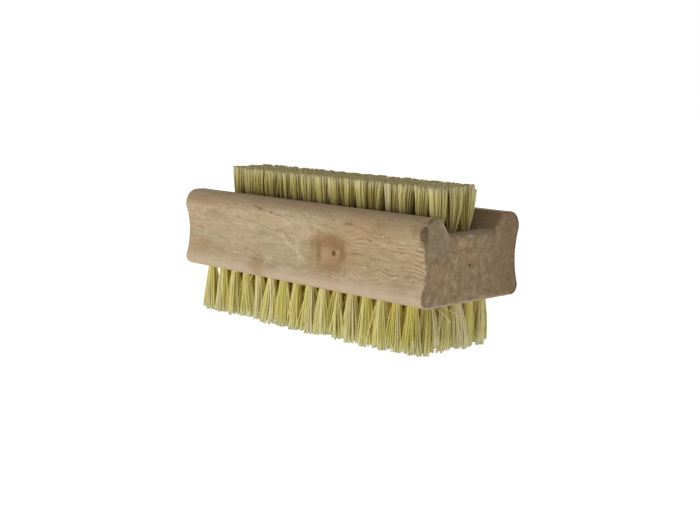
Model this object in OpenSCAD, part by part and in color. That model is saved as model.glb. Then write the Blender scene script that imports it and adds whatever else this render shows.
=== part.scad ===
// Two-sided wooden nail brush: one grooved hardwood block with plant fibre tufts
// below and a narrower field of shorter tufts in a trough along its top.
// Lengths are in millimetres. X runs along the block, Y across it and Z upwards.
// The origin is under the middle of the block, on the plane that the lower tips touch.

/* [Block] */
// Length of the block
block_l = 95; // [70:1:140]
// Width of the block over its lips
block_w = 37; // [33:0.5:50]
// Height of the block
block_h = 22; // [21:0.5:32]
// Radius of the long bottom edges
bottom_lip_r = 2.4; // [1:0.1:4]
// Radius of the long top edges
top_lip_r = 4; // [2:0.1:5]
// Depth of the finger groove along each side
groove_depth = 1.3; // [0.6:0.1:2.4]

/* [Trough] */
// Width of the trough at its mouth
trough_mouth_w = 23.8; // [20:0.1:26]
// Width of the trough floor
trough_floor_w = 16.7; // [15:0.1:19]
// Depth of the trough
trough_depth = 4.9; // [3:0.1:6]

/* [Lower tufts] */
// Number of rows across the block
lower_rows = 6; // [6]
// Wished distance between the tufts of a row
lower_spacing = 5.4; // [5:0.1:8]
// Distance from the left end of the block to the first tuft
lower_left_margin = 5.8; // [4:0.1:14]
// Distance from the last tuft to the right end of the block
lower_right_margin = 7.8; // [4:0.1:14]
// Distance from the lip of the block to the outer row
lower_side_margin = 5.5; // [5:0.1:6]
// Length of the lower bristles below the wood
lower_free_l = 13.2; // [8:0.1:20]
// Depth of the lower holes
lower_hole_depth = 7; // [5:0.1:8]

/* [Upper tufts] */
// Number of rows in the trough
upper_rows = 3; // [3]
// Wished distance between the tufts of a row
upper_spacing = 5.1; // [5:0.1:8]
// Distance from the left end of the block to the first tuft
upper_left_margin = 9.6; // [4:0.1:16]
// Distance from the last tuft to the right end of the block
upper_right_margin = 7.3; // [4:0.1:16]
// Distance from the edge of the trough floor to the outer row
upper_side_margin = 3.25; // [2.5:0.05:3.4]
// Length of the upper bristles above the trough floor
upper_free_l = 11.7; // [7:0.1:18]
// Depth of the upper holes
upper_hole_depth = 6; // [5:0.1:7]

/* [Holes and anchors] */
// Diameter of the drilled holes
hole_d = 2.8; // [2.6:0.1:3.4]
// Gap between a root and the wall and end of its hole
root_clearance = 0.05; // [0.02:0.01:0.1]
// Thickness of the flat metal anchors
anchor_t = 0.35; // [0.2:0.05:0.6]
// Height of the anchors, measured along the hole
anchor_h = 1.4; // [0.8:0.1:2]
// How far each end of an anchor bites into the wood
anchor_bite = 0.4; // [0.2:0.05:0.5]
// Depth of the folded fibres between an anchor and the end of its hole
fold_depth = 1; // [0.6:0.1:1.6]
// Thickness of the slice of the wood's surface that joins the tufts of a row
slice_t = 0.6; // [0.4:0.1:1]
// Wood that the slice keeps round the holes
slice_margin = 0.6; // [0.3:0.1:0.7]

/* [Strands] */
// Number of strands in a tuft
strands = 3; // [2:1:3]
// Distance from a tuft's centre to the middle of a strand at its root
root_ring = 0.7; // [0.66:0.01:0.74]
// Distance from a tuft's centre to the middle of a strand at its tip
tip_ring = 1.28; // [1.22:0.01:1.3]
// Half width of a strand at its root, over its corners
strand_root_r = 0.52; // [0.4:0.01:0.55]
// Half width of a strand at its tip, over its corners
strand_tip_r = 1.05; // [0.6:0.01:1.05]
// How far a tuft may lean to either side at its tip
lean = 0.15; // [0:0.01:0.2]
// Unevenness of the lower strand lengths
lower_ragged = 1.2; // [0:0.1:2]
// Depth that the standing plane trims off the longest lower strands
lower_trim = 0.5; // [0:0.1:0.8]
// Unevenness of the upper strand lengths
upper_ragged = 0.6; // [0:0.1:1]
// How far the tips of the outer upper tufts splay out of their field
upper_splay = 0.4; // [0:0.05:0.5]

/* [Hidden] */
$fn = 48;
wood_colour = [0.74, 0.64, 0.5];
fibre_colour = [0.8, 0.74, 0.5];
metal_colour = [0.78, 0.72, 0.5];

// How far a cutting shape runs past the face that it opens
overrun = 1;
// Sides of a strand's cross-section
strand_sides = 4;
// How deep the strands run into the root that holds them
strand_seat = 1;
// Straight pieces in each rounded stretch of the block's outline
lip_steps = 12;
groove_steps = 10;
// Angle that spreads the uneven lengths and leans of the tufts
golden_angle = 137.5;
// Numbers that keep the draws of one strand, tuft and row apart
strand_stride = 7;
tuft_stride = 31;
row_stride = 101;

// Heights of the faces that carry the tufts
block_bottom_z = lower_free_l;
block_top_z = block_bottom_z + block_h;
trough_floor_z = block_top_z - trough_depth;

// The groove is one arc that meets both rounded lips without a corner
bottom_lip_c = [block_w / 2 - bottom_lip_r, bottom_lip_r];
top_lip_c = [block_w / 2 - top_lip_r, block_h - top_lip_r];
lip_span = top_lip_c[1] - bottom_lip_c[1];
groove_rise = lip_span / 2 - groove_depth * (top_lip_r - bottom_lip_r) / lip_span;
groove_r = (groove_rise * groove_rise + groove_depth * groove_depth) / (2 * groove_depth)
    - bottom_lip_r;
groove_c = [block_w / 2 - groove_depth + groove_r, bottom_lip_r + groove_rise];
bottom_meet = atan2(groove_c[1] - bottom_lip_c[1], groove_c[0] - bottom_lip_c[0]);
top_meet = atan2(groove_c[1] - top_lip_c[1], groove_c[0] - top_lip_c[0]);

// Columns of tufts: as many as the wished spacing allows between the margins
lower_field_l = block_l - lower_left_margin - lower_right_margin;
upper_field_l = block_l - upper_left_margin - upper_right_margin;
lower_columns = floor(lower_field_l / lower_spacing) + 1;
upper_columns = floor(upper_field_l / upper_spacing) + 1;
lower_row_pitch = (block_w - 2 * lower_side_margin) / (lower_rows - 1);
upper_row_pitch = (trough_floor_w - 2 * upper_side_margin) / (upper_rows - 1);

root_r = hole_d / 2 - root_clearance;
anchor_w = hole_d + 2 * anchor_bite;
slice_w = hole_d + 2 * slice_margin;

// Place along the block of a tuft, from its column
function lower_x(column) =
    -block_l / 2 + lower_left_margin + lower_field_l * column / (lower_columns - 1);
function upper_x(column) =
    -block_l / 2 + upper_left_margin + upper_field_l * column / (upper_columns - 1);

// Place across the block of a row, counted from the front
function lower_y(row) = (row - (lower_rows + 1) / 2) * lower_row_pitch;
function upper_y(row) = (row - (upper_rows + 1) / 2) * upper_row_pitch;

// Which way the outer ones of a run of tufts face: -1, 0 or 1
function outward(index, last) = index == 0 ? -1 : (index == last ? 1 : 0);

// A repeatable uneven value from -1 to 1
function uneven(draw) = sin(draw * golden_angle);

// Points of an arc after its first one
function arc(centre, r, from, to, steps) = [
    for (i = [1:steps])
        let (angle = from + (to - from) * i / steps)
        centre + r * [cos(angle), sin(angle)]
];

// Right half of the block's outline, from the bottom edge up and into the trough
function half_outline() = concat(
    [[bottom_lip_c[0], 0]],
    arc(bottom_lip_c, bottom_lip_r, -90, bottom_meet, lip_steps),
    arc(groove_c, groove_r, 180 + bottom_meet, 180 + top_meet, groove_steps),
    arc(top_lip_c, top_lip_r, top_meet, 90, lip_steps),
    [[trough_mouth_w / 2, block_h], [trough_floor_w / 2, block_h - trough_depth]]
);

function mirrored(points) = [
    for (i = [len(points) - 1:-1:0])
        [-points[i][0], points[i][1]]
];

// Puts its children at each lower hole of a row, with Z pointing out of the wood
module at_lower_holes(row) {
    for (column = [0:lower_columns - 1])
        translate([lower_x(column), lower_y(row), block_bottom_z])
            rotate([180, 0, 0])
                children();
}

// Puts its children at each upper hole of a row, with Z pointing out of the wood
module at_upper_holes(row) {
    for (column = [0:upper_columns - 1])
        translate([upper_x(column), upper_y(row), trough_floor_z])
            children();
}

// The surface slice under a row of the given length, and above it the stated overrun
module slice(field_l, above) {
    translate([-slice_w / 2, -slice_w / 2, -slice_t])
        cube([field_l + slice_w, slice_w, slice_t + above]);
}

module at_lower_row(row) {
    translate([lower_x(0), lower_y(row), block_bottom_z])
        mirror([0, 0, 1])
            children();
}

module at_upper_row(row) {
    translate([upper_x(0), upper_y(row), trough_floor_z])
        children();
}

// A flat anchor across a hole of the given depth, with a gap all round it
module anchor_plate(depth, gap) {
    translate([0, 0, fold_depth + anchor_h / 2 - depth])
        cube([anchor_t + 2 * gap, anchor_w, anchor_h + 2 * gap], center = true);
}

// What one hole takes out of the wood: the bore and the slit that the anchor cuts
module hole(depth) {
    translate([0, 0, -depth])
        cylinder(d = hole_d, h = depth + overrun);
    anchor_plate(depth, 0);
}

// One bundle of fibres, from its seat in the root to its tip
module strand(from, to, turn) {
    corners = [for (k = [0:strand_sides - 1])
        let (angle = turn + 360 * k / strand_sides)
        [cos(angle), sin(angle), 0]];
    points = concat(
        [for (c = corners) from + strand_root_r * c],
        [for (c = corners) to + strand_tip_r * c]
    );
    last = strand_sides - 1;
    sides = [for (k = [0:last])
        let (next = (k + 1) % strand_sides)
        each [
            [k, k + strand_sides, next + strand_sides],
            [k, next + strand_sides, next]
        ]];
    root_end = [for (k = [1:last - 1]) [0, k, k + 1]];
    tip_end = [for (k = [1:last - 1])
        [strand_sides, strand_sides + k + 1, strand_sides + k]];
    polyhedron(points = points, faces = concat(root_end, sides, tip_end));
}

// The root of a tuft: the folded fibres that fill the hole round the anchor
module root(depth) {
    difference() {
        translate([0, 0, root_clearance - depth])
            cylinder(r = root_r, h = depth - root_clearance);
        anchor_plate(depth, root_clearance);
    }
}

// One tuft standing on the wood at z = 0, in a hole of the given depth
module tuft(depth, free_l, ragged, trim, splay, draw) {
    turn = 360 * uneven(draw);
    tip_shift = lean * [uneven(draw + 1), uneven(draw + 2), 0] + splay;
    root(depth);
    for (s = [0:strands - 1]) {
        angle = turn + 360 * s / strands;
        reach = free_l + trim - ragged * (1 + uneven(draw + strand_stride * (s + 1))) / 2;
        strand(
            [root_ring * cos(angle), root_ring * sin(angle), -strand_seat],
            [tip_ring * cos(angle), tip_ring * sin(angle), min(reach, free_l)] + tip_shift,
            angle
        );
    }
}

module block() {
    half = half_outline();
    color(wood_colour)
        difference() {
            translate([0, 0, block_bottom_z])
                rotate([90, 0, 90])
                    linear_extrude(height = block_l, center = true)
                        polygon(concat(half, mirrored(half)));
            for (row = [1:lower_rows]) {
                at_lower_row(row)
                    slice(lower_field_l, overrun);
                at_lower_holes(row)
                    hole(lower_hole_depth);
            }
            for (row = [1:upper_rows]) {
                at_upper_row(row)
                    slice(upper_field_l, overrun);
                at_upper_holes(row)
                    hole(upper_hole_depth);
            }
        }
}

module lower_bristles(row) {
    color(wood_colour)
        at_lower_row(row)
            slice(lower_field_l, 0);
    color(fibre_colour)
        for (column = [0:lower_columns - 1])
            translate([lower_x(column), lower_y(row), block_bottom_z])
                rotate([180, 0, 0])
                    tuft(lower_hole_depth, lower_free_l, lower_ragged, lower_trim, [0, 0, 0],
                        row_stride * row + tuft_stride * column);
}

module upper_bristles(row) {
    color(wood_colour)
        at_upper_row(row)
            slice(upper_field_l, 0);
    color(fibre_colour)
        for (column = [0:upper_columns - 1]) {
            ends = outward(column, upper_columns - 1);
            sides = outward(row - 1, upper_rows - 1);
            translate([upper_x(column), upper_y(row), trough_floor_z])
                tuft(upper_hole_depth, upper_free_l, upper_ragged, 0,
                    upper_splay * [ends, sides, 0],
                    row_stride * (lower_rows + row) + tuft_stride * column);
        }
}

module lower_anchors(row) {
    color(metal_colour)
        at_lower_holes(row)
            anchor_plate(lower_hole_depth, 0);
}

module upper_anchors(row) {
    color(metal_colour)
        at_upper_holes(row)
            anchor_plate(upper_hole_depth, 0);
}

block();
for (row = [1:lower_rows]) {
    lower_bristles(row);
    lower_anchors(row);
}
for (row = [1:upper_rows]) {
    upper_bristles(row);
    upper_anchors(row);
}
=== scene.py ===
"""Looks of a two-sided wooden nail brush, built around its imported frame."""

import math

import bmesh
import bpy
import numpy as np
from mathutils import Matrix, Vector, noise


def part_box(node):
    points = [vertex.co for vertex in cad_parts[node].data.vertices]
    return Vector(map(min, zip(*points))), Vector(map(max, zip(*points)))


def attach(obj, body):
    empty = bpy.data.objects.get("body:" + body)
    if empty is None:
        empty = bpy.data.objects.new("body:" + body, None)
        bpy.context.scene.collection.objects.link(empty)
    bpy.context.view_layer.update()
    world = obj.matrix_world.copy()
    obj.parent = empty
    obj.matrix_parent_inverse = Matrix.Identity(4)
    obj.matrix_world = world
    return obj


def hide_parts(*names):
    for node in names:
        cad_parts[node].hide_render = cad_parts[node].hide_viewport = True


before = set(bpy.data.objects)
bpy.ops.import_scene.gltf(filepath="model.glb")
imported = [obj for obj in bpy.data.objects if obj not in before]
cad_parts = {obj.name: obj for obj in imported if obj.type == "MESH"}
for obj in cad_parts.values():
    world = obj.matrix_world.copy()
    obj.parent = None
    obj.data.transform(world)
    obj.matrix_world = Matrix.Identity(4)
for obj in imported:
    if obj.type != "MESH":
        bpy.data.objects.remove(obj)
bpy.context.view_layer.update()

# The brush's lengths are written in millimetres and turned into metres by MM.
MM = 0.001
SEED = 46

# Camera: where it stands in millimetres, how it is turned in degrees, and its optics.
CAMERA_PLACE = (242.675, -231.056, 70.028)
CAMERA_AZIMUTH = 46.0
CAMERA_ELEVATION = 8.8015
CAMERA_ROLL = 0.8502
CAMERA_LENS = 62.475
CAMERA_SENSOR = 36.0
CAMERA_CLIP = 10.0

# Wood block: its outline, seen from the end, as the frame has it.
TOP_LIP_R = 4.0
BOTTOM_LIP_R = 2.4
GROOVE_DEPTH = 1.3
MOUTH_HALF = 11.9
FLOOR_HALF = 8.35
TROUGH_DEPTH = 4.9
HOLE_R = 1.4
LOWER_HOLE_DEPTH = 7.0
UPPER_HOLE_DEPTH = 6.0
SLICE_T = 0.6

# Fineness of the block's skin.
ARC_STEP = 0.42
LAND_STEP = 0.65
SLOPE_STEP = 0.75
FLAT_STEP = 0.9
STATION_STEP = 0.8
END_MARGIN = 1.2
ROUND_STEPS = 4
CAP_INSET = 0.9
HOLE_SIDES = 20
SHARP_ANGLE = 35

# Wear of the block's skin: rims of the holes, end edges with their chips, and shallow hollows.
RIM_WIDTH = 0.12
RIM_DEPTH = 0.14
END_EDGE_R = 0.30
LEAST_EDGE_R = 0.16
# Chips in the right end's front edge: height, reach and how much more is worn off.
CHIPS = ((19.6, 1.5, 0.30), (17.0, 0.9, 0.16))
CHIPPED_Y = -13.0
HOLLOW_DEPTH = 0.10
HOLLOW_SCALE = (0.05, 0.17, 0.17)
# The hollows fade in over this many points from a side's edges.
HOLLOW_FADE = 8

block_low, block_high = (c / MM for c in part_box("block"))
LENGTH = block_high.x - block_low.x
WIDTH = block_high.y - block_low.y
HEIGHT = block_high.z - block_low.z
BASE_Z = block_low.z
TOP_Z = block_high.z
FLOOR_Z = TOP_Z - TROUGH_DEPTH


def lerp(a, b, t):
    return a + (b - a) * t


def placed(name, data):
    """A new object in the scene."""
    made = bpy.data.objects.new(name, data)
    bpy.context.scene.collection.objects.link(made)
    return made


# Shader nodes

class Shader:
    """A material on one Principled surface, with short names for the nodes that feed it."""

    def __init__(self, name):
        self.material = bpy.data.materials.new(name)
        self.material.use_nodes = True
        self.tree = self.material.node_tree
        self.surface = self.tree.nodes["Principled BSDF"]
        place = self.node("ShaderNodeTexCoord").outputs["Object"]
        self.place = self.vector("SCALE", place, scale=1 / MM)

    def put(self, socket, value):
        if isinstance(value, bpy.types.NodeSocket):
            self.tree.links.new(value, socket)
        else:
            socket.default_value = value

    def node(self, kind, **settings):
        made = self.tree.nodes.new(kind)
        for key, value in settings.items():
            setattr(made, key, value)
        return made

    def math(self, operation, a, b=0.0):
        made = self.node("ShaderNodeMath", operation=operation)
        self.put(made.inputs[0], a)
        self.put(made.inputs[1], b)
        return made.outputs[0]

    def add(self, a, b):
        return self.math("ADD", a, b)

    def subtract(self, a, b):
        return self.math("SUBTRACT", a, b)

    def product(self, *factors):
        result = factors[0]
        for factor in factors[1:]:
            result = self.math("MULTIPLY", result, factor)
        return result

    def unit(self, value):
        """Keeps a value between 0 and 1."""
        return self.math("MINIMUM", self.math("MAXIMUM", value, 0.0), 1.0)

    def vector(self, operation, a, b=(0, 0, 0), scale=None):
        made = self.node("ShaderNodeVectorMath", operation=operation)
        self.put(made.inputs[0], a)
        self.put(made.inputs[1], b)
        if scale is not None:
            self.put(made.inputs["Scale"], scale)
        is_number = operation in ("LENGTH", "DISTANCE", "DOT_PRODUCT")
        return made.outputs["Value" if is_number else "Vector"]

    def parts(self, vector):
        made = self.node("ShaderNodeSeparateXYZ")
        self.put(made.inputs[0], vector)
        return made.outputs[0], made.outputs[1], made.outputs[2]

    def joined(self, x, y, z):
        made = self.node("ShaderNodeCombineXYZ")
        for socket, value in zip(made.inputs, (x, y, z)):
            self.put(socket, value)
        return made.outputs[0]

    def reach(self, a, b):
        """Length of a flat step with the sides a and b."""
        return self.vector("LENGTH", self.joined(a, b, 0.0))

    def noise(self, place, scale=1.0, detail=2.0, roughness=0.5):
        """Noise from 0 to 1; the scale is one number, or one for each axis."""
        if isinstance(scale, tuple):
            place, scale = self.vector("MULTIPLY", place, scale), 1.0
        made = self.node("ShaderNodeTexNoise")
        for key, value in (
            ("Vector", place), ("Scale", scale), ("Detail", detail), ("Roughness", roughness),
        ):
            self.put(made.inputs[key], value)
        return made.outputs["Fac"]

    def span(self, value, low, high):
        """0 below low, 1 above high, smooth between; low may be the larger."""
        made = self.node("ShaderNodeMapRange", interpolation_type="SMOOTHSTEP")
        for key, given in (("Value", value), ("From Min", low), ("From Max", high)):
            self.put(made.inputs[key], given)
        return made.outputs[0]

    def mix(self, share, a, b):
        made = self.node("ShaderNodeMix", data_type="RGBA")
        self.put(made.inputs[0], share)
        for socket, value in ((made.inputs[6], a), (made.inputs[7], b)):
            is_socket = isinstance(value, bpy.types.NodeSocket)
            self.put(socket, value if is_socket else (*value, 1.0))
        return made.outputs[2]

    def tinted(self, colour, tint, *masks):
        """A colour with a tint laid over it, as far as all the masks together let it."""
        return self.mix(self.product(*masks), colour, tint)

    def covered(self, colour, *covers):
        """Several tints laid over a colour in turn, each with its masks."""
        for tint, *masks in covers:
            colour = self.tinted(colour, tint, *masks)
        return colour

    def layered(self, colour, layers):
        """Tints laid over a colour, each where a noise goes from its first limit to its second."""
        for value, low, high, share, tint in layers:
            colour = self.tinted(colour, tint, self.span(value, low, high), share)
        return colour

    def ramp(self, value, stops):
        made = self.node("ShaderNodeValToRGB")
        elements = made.color_ramp.elements
        elements[0].position, elements[0].color = stops[0][0], (*stops[0][1], 1)
        elements[1].position, elements[1].color = stops[-1][0], (*stops[-1][1], 1)
        for position, colour in stops[1:-1]:
            elements.new(position).color = (*colour, 1)
        self.put(made.inputs[0], value)
        return made.outputs[0]

    def attribute(self, name):
        return self.node("ShaderNodeAttribute", attribute_name=name).outputs["Fac"]

    def bump(self, height, strength, depth):
        made = self.node("ShaderNodeBump")
        made.inputs["Strength"].default_value = strength
        made.inputs["Distance"].default_value = depth * MM
        self.put(made.inputs["Height"], height)
        self.put(self.surface.inputs["Normal"], made.outputs[0])

    def finish(self, colour, roughness, specular, metallic=0.0):
        self.put(self.surface.inputs["Base Color"], colour)
        self.put(self.surface.inputs["Roughness"], roughness)
        self.surface.inputs["Specular IOR Level"].default_value = specular
        self.surface.inputs["Metallic"].default_value = metallic
        return self.material


# Wood colours, linear
WOOD_PINK = (0.492, 0.367, 0.232)
WOOD_GREEN = (0.446, 0.358, 0.214)
WOOD_DARK = (0.290, 0.195, 0.105)
WOOD_PALE = (0.650, 0.535, 0.375)
# Painted shade, with some stain, for the upper land.
TOP_STAIN_AND_PAINTED_SHADE = (0.262, 0.174, 0.074)
WOOD_WARM = (0.345, 0.205, 0.072)
# Painted bounce light for the lower lip.
LIP_PAINTED_BOUNCE_LIGHT = (0.585, 0.440, 0.320)
STAIN = (0.132, 0.082, 0.040)
SCRATCH = (0.190, 0.100, 0.055)
BLEACHED = (0.740, 0.660, 0.500)
CORNER_DIRT = (0.128, 0.064, 0.026)
# Painted shade for the right end's far edge.
FAR_EDGE_PAINTED_SHADE = (0.080, 0.055, 0.032)
KNOT_BROWN = (0.215, 0.122, 0.044)
KNOT_RED = (0.340, 0.175, 0.080)
KNOT_PALE = (0.560, 0.430, 0.300)
KNOT_EYE = (0.090, 0.045, 0.006)
REAR_KNOT_EYE = (0.100, 0.055, 0.018)
# The ends' colours are darker than the sides': partly end grain, partly painted shade.
END_PINK = (0.374, 0.245, 0.140)
END_GREEN = (0.305, 0.224, 0.122)
END_DARK = (0.185, 0.120, 0.062)
END_BROWN = (0.218, 0.134, 0.068)
END_RED = (0.370, 0.225, 0.140)
END_OLIVE = (0.250, 0.222, 0.130)
PITH = (0.050, 0.032, 0.018)

# Marks on the front side: x and z of both ends, half width, share of the colour.
DARK_MARKS = (
    ((-16.5, 33.0), (-8.5, 31.9), 0.26, 0.75),
    ((-8.5, 31.9), (-1.2, 30.7), 0.20, 0.55),
    ((-4.2, 26.6), (-2.2, 25.6), 0.34, 0.50),
    ((28.6, 28.2), (32.2, 27.2), 0.30, 0.55),
    ((14.6, 33.0), (16.2, 32.2), 0.34, 0.40),
    ((21.4, 32.4), (24.0, 31.2), 0.30, 0.45),
    ((-17.6, 18.3), (-12.6, 17.9), 0.24, 0.50),
    ((-21.0, 20.6), (-17.0, 20.0), 0.20, 0.45),
    ((-16.5, 19.4), (-12.8, 18.9), 0.20, 0.45),
    ((-24.0, 29.2), (-15.0, 28.3), 0.26, 0.35),
    ((-14.0, 28.1), (-7.0, 26.8), 0.24, 0.35),
    ((24.0, 32.0), (33.0, 29.0), 0.20, 0.28),
    ((30.0, 31.5), (37.0, 28.8), 0.20, 0.28),
    ((19.5, 23.4), (19.8, 18.2), 0.26, 0.45),
    ((1.0, 23.0), (8.0, 22.2), 0.22, 0.38),
    ((-45.2, 26.6), (-40.0, 26.8), 0.22, 0.30),
    ((21.8, 24.2), (26.9, 24.2), 0.26, 0.40),
    ((26.9, 23.6), (32.2, 23.6), 0.22, 0.36),
    ((36.4, 24.3), (41.5, 24.0), 0.26, 0.42),
    ((41.5, 24.2), (46.1, 23.9), 0.28, 0.48),
    ((32.3, 25.5), (37.5, 25.9), 0.20, 0.34),
    ((22.2, 21.6), (28.7, 22.6), 0.22, 0.32),
    ((41.6, 26.0), (45.9, 26.2), 0.22, 0.40),
    ((39.2, 21.9), (46.6, 21.7), 0.22, 0.34),
    ((25.2, 26.1), (29.5, 26.1), 0.20, 0.30),
    ((20.6, 31.9), (22.9, 31.7), 0.30, 0.45),
    ((35.0, 34.2), (36.1, 34.1), 0.30, 0.50),
)
PALE_MARKS = (
    ((-5.4, 26.0), (-3.4, 24.4), 0.36, 0.50),
    ((-3.2, 24.2), (-0.4, 22.4), 0.30, 0.42),
    ((-0.2, 22.4), (3.2, 20.6), 0.28, 0.50),
    ((-0.2, 24.1), (1.2, 22.7), 0.22, 0.30),
    ((-13.6, 20.2), (-9.6, 18.3), 0.22, 0.25),
    ((-4.6, 31.0), (-0.6, 29.4), 0.26, 0.30),
    ((5.2, 31.0), (6.0, 28.6), 0.30, 0.26),
    ((6.2, 28.0), (4.6, 26.2), 0.34, 0.30),
    ((4.0, 29.4), (3.2, 28.0), 0.26, 0.24),
    ((3.0, 27.4), (3.4, 25.6), 0.30, 0.24),
    ((5.0, 33.2), (6.4, 32.4), 0.34, 0.26),
    ((2.2, 26.0), (1.0, 25.0), 0.26, 0.26),
    ((34.9, 18.9), (38.4, 20.1), 0.26, 0.42),
    ((30.0, 28.0), (38.0, 27.4), 0.36, 0.22),
    ((33.0, 22.6), (39.0, 22.9), 0.34, 0.22),
)
# Patches on the front side: centre x and z, half sizes, colour, share.
PATCHES = (
    ((13.6, 23.0), (8.6, 5.6), WOOD_WARM, 0.62),
    ((31.0, 25.0), (18.0, 6.5), WOOD_WARM, 0.34),
    ((14.6, 26.8), (5.6, 1.8), KNOT_BROWN, 0.42),
    ((11.2, 25.6), (2.4, 2.0), KNOT_RED, 0.50),
    ((9.5, 23.2), (0.95, 4.4), KNOT_BROWN, 0.62),
    ((7.2, 25.0), (1.9, 1.7), KNOT_BROWN, 0.52),
    ((11.7, 25.4), (0.6, 2.2), KNOT_BROWN, 0.40),
    ((15.4, 25.9), (3.0, 1.9), KNOT_BROWN, 0.55),
    ((17.9, 24.2), (1.4, 2.0), KNOT_BROWN, 0.50),
    ((17.8, 22.2), (1.5, 3.0), KNOT_BROWN, 0.46),
    ((14.0, 19.2), (3.6, 1.3), KNOT_BROWN, 0.40),
    ((13.6, 20.8), (2.8, 1.8), KNOT_RED, 0.40),
    ((11.6, 22.8), (1.5, 2.2), KNOT_PALE, 0.16),
    ((14.9, 23.3), (0.68, 0.64), KNOT_EYE, 0.92),
    # Painted highlight beside the knot's eye.
    ((16.3, 23.8), (0.80, 0.30), BLEACHED, 0.26),
    ((5.8, 19.8), (1.4, 2.0), KNOT_RED, 0.30),
    ((-14.8, 15.6), (3.6, 2.2), WOOD_WARM, 0.56),
    ((-15.4, 18.2), (3.0, 1.2), KNOT_BROWN, 0.22),
    ((-9.0, 17.0), (3.0, 1.0), KNOT_BROWN, 0.25),
    ((-41.0, 19.4), (7.0, 2.2), KNOT_RED, 0.42),
    ((-40.0, 32.6), (8.0, 1.1), KNOT_RED, 0.40),
    ((-33.0, 28.6), (6.0, 1.4), KNOT_BROWN, 0.22),
    ((24.0, 31.0), (9.0, 2.2), KNOT_RED, 0.34),
    ((37.5, 31.6), (6.5, 1.9), KNOT_BROWN, 0.30),
    ((45.2, 32.2), (2.4, 1.3), KNOT_BROWN, 0.50),
    ((46.6, 29.2), (1.0, 0.6), SCRATCH, 0.60),
    ((46.4, 27.4), (1.2, 0.35), SCRATCH, 0.50),
)
# Patches on the rear side.
REAR_PATCHES = (
    ((-20.0, 24.4), (5.4, 3.2), WOOD_WARM, 0.55),
    ((-20.4, 25.8), (3.4, 1.0), KNOT_BROWN, 0.45),
    ((-20.0, 22.6), (2.8, 0.8), KNOT_BROWN, 0.45),
    ((-19.6, 24.2), (0.9, 0.7), REAR_KNOT_EYE, 0.80),
    ((14.0, 27.6), (13.0, 1.5), KNOT_RED, 0.26),
    ((30.0, 19.0), (9.0, 1.8), KNOT_BROWN, 0.22),
    ((4.0, 18.6), (10.0, 1.3), WOOD_GREEN, 0.50),
    ((-38.0, 30.6), (7.0, 1.6), KNOT_BROWN, 0.24),
    ((38.0, 31.2), (4.0, 0.3), SCRATCH, 0.45),
    ((-3.0, 29.4), (2.2, 0.25), SCRATCH, 0.40),
)
# Patches with a half length up to this aren't bent by the broad swirl.
SMALL_PATCH = 0.6

# The middle of the knot as (x, z), and of the growth rings and the pith as (y, z).
KNOT_PLACE = (14.0, 23.0)
RING_PLACE = (34.0, 11.0)
PITH_PLACE = (-1.0, 22.6)


def shifted_place(s, flat, scales, detail, reach):
    """A flat place pushed about by noise, by up to half of reach either way."""
    push = [s.noise(s.place, scale, detail=detail) for scale in scales]
    pushed = s.vector("ADD", flat, s.vector("SCALE", s.joined(*push, 0.0), scale=reach))
    return s.vector("SUBTRACT", pushed, (reach / 2, reach / 2, 0.0))


def patched(s, colour, patches, side, swirled_place, shaken_place, speck):
    """Soft patches with grainy edges on one side of the block."""
    for centre, half, tint, share in patches:
        place = swirled_place if half[0] > SMALL_PATCH else shaken_place
        offset = s.vector("SUBTRACT", place, (*centre, 0.0))
        far = s.vector("LENGTH", s.vector("MULTIPLY", offset, (1 / half[0], 1 / half[1], 0.0)))
        grainy = s.add(far, s.product(s.subtract(speck, 0.5), 0.9))
        colour = s.tinted(colour, tint, s.span(grainy, 1.55, 0.25), side, share)
    return colour


def scratched(s, colour, marks, tint, mask, place):
    """Fine straight marks, broken up by the mask."""
    for start, end, half, share in marks:
        along = (end[0] - start[0], end[1] - start[1], 0.0)
        offset = s.vector("SUBTRACT", place, (*start, 0.0))
        dot = s.vector("DOT_PRODUCT", offset, along)
        how_far = s.unit(s.math("DIVIDE", dot, along[0] ** 2 + along[1] ** 2))
        far = s.vector("DISTANCE", offset, s.vector("SCALE", along, scale=how_far))
        colour = s.tinted(colour, tint, s.span(far, half * 1.5, half * 0.5), mask, share)
    return colour


def end_grain(s, y, z, ring_far, pores):
    """Colour of the sawn ends: specks and short arcs across an even brown, darker than the sides,
    partly as end grain and partly as painted shade.
    """
    mottle = s.noise(s.place, 0.22, detail=3.0)
    crumb = s.noise(s.place, 0.55, detail=3.0, roughness=0.60)
    weave = s.noise(s.place, (1.0, 1.3, 0.28), roughness=0.6)
    flakes = s.noise(s.place, (1.0, 0.6, 1.9), roughness=0.6)
    arc_place = s.joined(s.product(ring_far, 1.3), s.product(y, 0.22), s.product(z, 0.22))
    arcs = s.noise(arc_place, detail=3.0, roughness=0.6)
    colour = s.layered(s.mix(s.span(mottle, 0.38, 0.62), END_GREEN, END_PINK), (
        (arcs, 0.52, 0.68, 0.16, END_DARK),
        (arcs, 0.46, 0.32, 0.14, WOOD_PALE),
        (crumb, 0.50, 0.64, 0.50, END_DARK),
        (crumb, 0.47, 0.34, 0.28, WOOD_PALE),
        (weave, 0.54, 0.68, 0.34, END_DARK),
        (flakes, 0.58, 0.70, 0.34, WOOD_PALE),
        (pores, 0.56, 0.70, 0.44, END_DARK),
    ))
    off_pith = s.reach(s.subtract(y, PITH_PLACE[0]), s.subtract(z, PITH_PLACE[1]))
    return s.covered(
        colour,
        (END_BROWN, s.span(y, 1.0, 15.0), 0.64),
        (END_RED, s.span(y, -6.0, -14.0), s.span(z, 23.0, 17.0), s.span(mottle, 0.34, 0.56), 0.50),
        (END_OLIVE, s.span(y, -7.0, -12.0), s.span(z, 23.5, 28.0), s.span(mottle, 0.30, 0.55),
         0.62),
        (PITH, s.span(off_pith, 0.62, 0.22), 0.9))


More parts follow.
